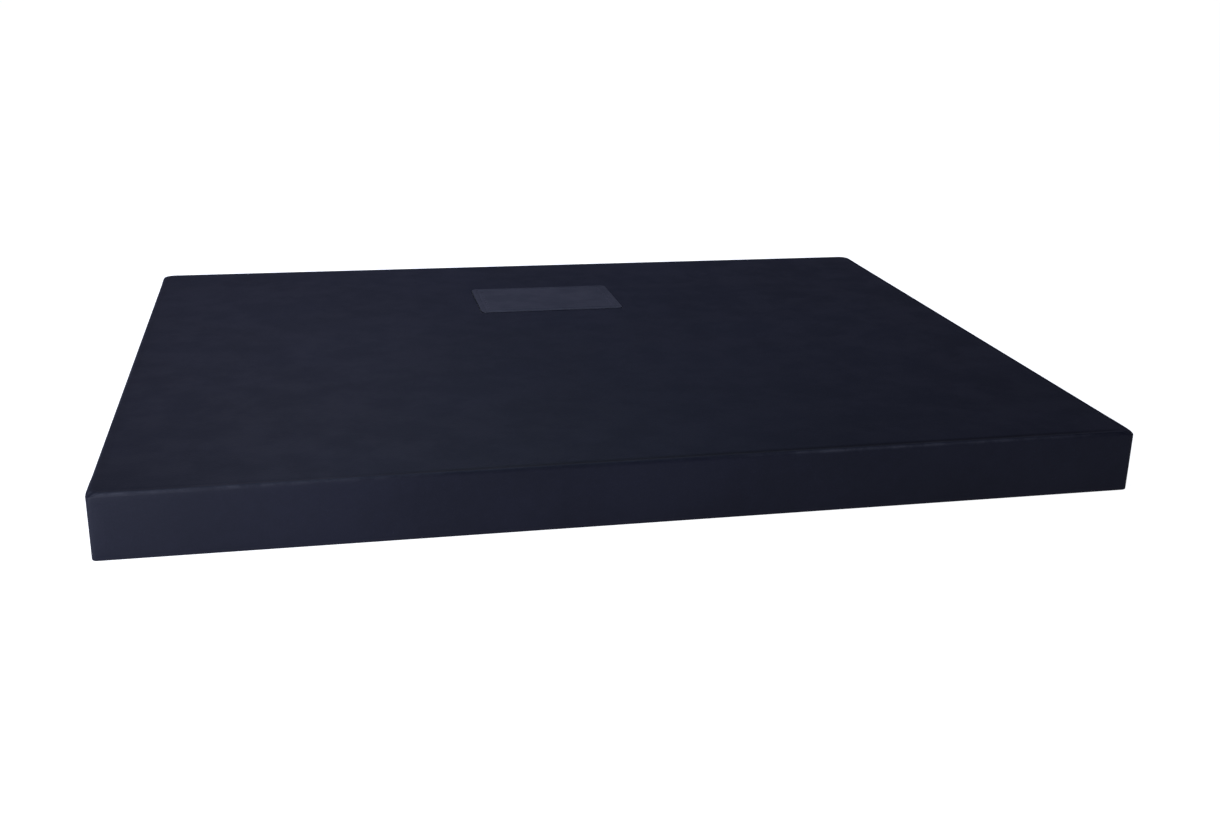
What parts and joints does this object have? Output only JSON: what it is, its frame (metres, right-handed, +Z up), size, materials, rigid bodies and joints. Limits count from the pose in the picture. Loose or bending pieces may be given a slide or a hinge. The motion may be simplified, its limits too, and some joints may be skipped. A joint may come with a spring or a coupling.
{
  "type": "massage stone set in a case",
  "caption": "Flat rectangular case with a full-depth lift-off lid and a blank plaque, holding smooth oval basalt massage stones, each in its own cell on a padded floor.",
  "frame": {"origin": "middle of the underside of the closed case, on the surface it stands on", "axes": "+X along the long side to the right, +Y from the front to the back, +Z up"},
  "size_m": [0.465, 0.362, 0.0303],
  "materials": {
    "navy_skin": "smooth dark navy leatherette, low sheen",
    "plaque_metal": "dark anodised, satin, blank",
    "greyboard": "raw grey board, matt",
    "black_velvet": "short pile velvet, matt",
    "divider_card": "dark flocked card, matt",
    "basalt": "tumbled smooth, lightly oiled"
  },
  "bodies": {
    "base": {"base_bottom_sheet": "navy_skin", "base_panel": "greyboard", "base_front_wall": "greyboard", "base_back_wall": "greyboard", "base_left_wall": "greyboard", "base_right_wall": "greyboard", "base_skin": "navy_skin", "floor_pad": "black_velvet"},
    "lid": {"lid_skin": "navy_skin", "lid_panel": "greyboard", "lid_front_wall": "greyboard", "lid_back_wall": "greyboard", "lid_left_wall": "greyboard", "lid_right_wall": "greyboard", "lid_liner": "black_velvet", "plaque": "plaque_metal"},
    "dividers": {"long_divider_1": "divider_card", "long_divider_2": "divider_card", "long_divider_3": "divider_card", "cross_divider_1": "divider_card", "cross_divider_2": "divider_card", "cross_divider_3": "divider_card", "cross_divider_4": "divider_card", "cross_divider_5": "divider_card"},
    "stone_large_1": {"stone_large_1": "basalt"},
    "stone_large_2": {"stone_large_2": "basalt"},
    "stone_large_3": {"stone_large_3": "basalt"},
    "stone_large_4": {"stone_large_4": "basalt"},
    "stone_large_5": {"stone_large_5": "basalt"},
    "stone_large_6": {"stone_large_6": "basalt"},
    "stone_medium_1": {"stone_medium_1": "basalt"},
    "stone_medium_2": {"stone_medium_2": "basalt"},
    "stone_medium_3": {"stone_medium_3": "basalt"},
    "stone_medium_4": {"stone_medium_4": "basalt"},
    "stone_medium_5": {"stone_medium_5": "basalt"},
    "stone_medium_6": {"stone_medium_6": "basalt"},
    "stone_small_1": {"stone_small_1": "basalt"},
    "stone_small_2": {"stone_small_2": "basalt"},
    "stone_small_3": {"stone_small_3": "basalt"},
    "stone_small_4": {"stone_small_4": "basalt"},
    "stone_small_5": {"stone_small_5": "basalt"},
    "stone_small_6": {"stone_small_6": "basalt"},
    "stone_toe_1": {"stone_toe_1": "basalt"},
    "stone_toe_2": {"stone_toe_2": "basalt"},
    "stone_toe_3": {"stone_toe_3": "basalt"},
    "stone_toe_4": {"stone_toe_4": "basalt"},
    "stone_toe_5": {"stone_toe_5": "basalt"},
    "stone_toe_6": {"stone_toe_6": "basalt"}
  },
  "joints": [
    {"name": "lid_lift", "type": "slide", "parent": "base", "child": "lid", "axis": [0, 0, 1], "range_m": [0, 0.16]},
    {"name": "dividers_lift", "type": "slide", "parent": "base", "child": "dividers", "axis": [0, 0, 1], "range_m": [0, 0.025]},
    {"name": "stone_large_1_lift", "type": "slide", "parent": "base", "child": "stone_large_1", "axis": [0, 0, 1], "range_m": [0, 0.05]},
    {"name": "stone_large_2_lift", "type": "slide", "parent": "base", "child": "stone_large_2", "axis": [0, 0, 1], "range_m": [0, 0.05]},
    {"name": "stone_large_3_lift", "type": "slide", "parent": "base", "child": "stone_large_3", "axis": [0, 0, 1], "range_m": [0, 0.05]},
    {"name": "stone_large_4_lift", "type": "slide", "parent": "base", "child": "stone_large_4", "axis": [0, 0, 1], "range_m": [0, 0.05]},
    {"name": "stone_large_5_lift", "type": "slide", "parent": "base", "child": "stone_large_5", "axis": [0, 0, 1], "range_m": [0, 0.05]},
    {"name": "stone_large_6_lift", "type": "slide", "parent": "base", "child": "stone_large_6", "axis": [0, 0, 1], "range_m": [0, 0.05]},
    {"name": "stone_medium_1_lift", "type": "slide", "parent": "base", "child": "stone_medium_1", "axis": [0, 0, 1], "range_m": [0, 0.05]},
    {"name": "stone_medium_2_lift", "type": "slide", "parent": "base", "child": "stone_medium_2", "axis": [0, 0, 1], "range_m": [0, 0.05]},
    {"name": "stone_medium_3_lift", "type": "slide", "parent": "base", "child": "stone_medium_3", "axis": [0, 0, 1], "range_m": [0, 0.05]},
    {"name": "stone_medium_4_lift", "type": "slide", "parent": "base", "child": "stone_medium_4", "axis": [0, 0, 1], "range_m": [0, 0.05]},
    {"name": "stone_medium_5_lift", "type": "slide", "parent": "base", "child": "stone_medium_5", "axis": [0, 0, 1], "range_m": [0, 0.05]},
    {"name": "stone_medium_6_lift", "type": "slide", "parent": "base", "child": "stone_medium_6", "axis": [0, 0, 1], "range_m": [0, 0.05]},
    {"name": "stone_small_1_lift", "type": "slide", "parent": "base", "child": "stone_small_1", "axis": [0, 0, 1], "range_m": [0, 0.05]},
    {"name": "stone_small_2_lift", "type": "slide", "parent": "base", "child": "stone_small_2", "axis": [0, 0, 1], "range_m": [0, 0.05]},
    {"name": "stone_small_3_lift", "type": "slide", "parent": "base", "child": "stone_small_3", "axis": [0, 0, 1], "range_m": [0, 0.05]},
    {"name": "stone_small_4_lift", "type": "slide", "parent": "base", "child": "stone_small_4", "axis": [0, 0, 1], "range_m": [0, 0.05]},
    {"name": "stone_small_5_lift", "type": "slide", "parent": "base", "child": "stone_small_5", "axis": [0, 0, 1], "range_m": [0, 0.05]},
    {"name": "stone_small_6_lift", "type": "slide", "parent": "base", "child": "stone_small_6", "axis": [0, 0, 1], "range_m": [0, 0.05]},
    {"name": "stone_toe_1_lift", "type": "slide", "parent": "base", "child": "stone_toe_1", "axis": [0, 0, 1], "range_m": [0, 0.05]},
    {"name": "stone_toe_2_lift", "type": "slide", "parent": "base", "child": "stone_toe_2", "axis": [0, 0, 1], "range_m": [0, 0.05]},
    {"name": "stone_toe_3_lift", "type": "slide", "parent": "base", "child": "stone_toe_3", "axis": [0, 0, 1], "range_m": [0, 0.05]},
    {"name": "stone_toe_4_lift", "type": "slide", "parent": "base", "child": "stone_toe_4", "axis": [0, 0, 1], "range_m": [0, 0.05]},
    {"name": "stone_toe_5_lift", "type": "slide", "parent": "base", "child": "stone_toe_5", "axis": [0, 0, 1], "range_m": [0, 0.05]},
    {"name": "stone_toe_6_lift", "type": "slide", "parent": "base", "child": "stone_toe_6", "axis": [0, 0, 1], "range_m": [0, 0.05]}
  ],
  "couplings": [
    {"joint": "dividers_lift", "follows": "lid_lift", "ratio": 0.15},
    {"joint": "stone_large_1_lift", "follows": "lid_lift", "ratio": 0.3},
    {"joint": "stone_large_2_lift", "follows": "lid_lift", "ratio": 0.3},
    {"joint": "stone_large_3_lift", "follows": "lid_lift", "ratio": 0.3},
    {"joint": "stone_large_4_lift", "follows": "lid_lift", "ratio": 0.3},
    {"joint": "stone_large_5_lift", "follows": "lid_lift", "ratio": 0.3},
    {"joint": "stone_large_6_lift", "follows": "lid_lift", "ratio": 0.3},
    {"joint": "stone_medium_1_lift", "follows": "lid_lift", "ratio": 0.3},
    {"joint": "stone_medium_2_lift", "follows": "lid_lift", "ratio": 0.3},
    {"joint": "stone_medium_3_lift", "follows": "lid_lift", "ratio": 0.3},
    {"joint": "stone_medium_4_lift", "follows": "lid_lift", "ratio": 0.3},
    {"joint": "stone_medium_5_lift", "follows": "lid_lift", "ratio": 0.3},
    {"joint": "stone_medium_6_lift", "follows": "lid_lift", "ratio": 0.3},
    {"joint": "stone_small_1_lift", "follows": "lid_lift", "ratio": 0.3},
    {"joint": "stone_small_2_lift", "follows": "lid_lift", "ratio": 0.3},
    {"joint": "stone_small_3_lift", "follows": "lid_lift", "ratio": 0.3},
    {"joint": "stone_small_4_lift", "follows": "lid_lift", "ratio": 0.3},
    {"joint": "stone_small_5_lift", "follows": "lid_lift", "ratio": 0.3},
    {"joint": "stone_small_6_lift", "follows": "lid_lift", "ratio": 0.3},
    {"joint": "stone_toe_1_lift", "follows": "lid_lift", "ratio": 0.3},
    {"joint": "stone_toe_2_lift", "follows": "lid_lift", "ratio": 0.3},
    {"joint": "stone_toe_3_lift", "follows": "lid_lift", "ratio": 0.3},
    {"joint": "stone_toe_4_lift", "follows": "lid_lift", "ratio": 0.3},
    {"joint": "stone_toe_5_lift", "follows": "lid_lift", "ratio": 0.3},
    {"joint": "stone_toe_6_lift", "follows": "lid_lift", "ratio": 0.3}
  ]
}
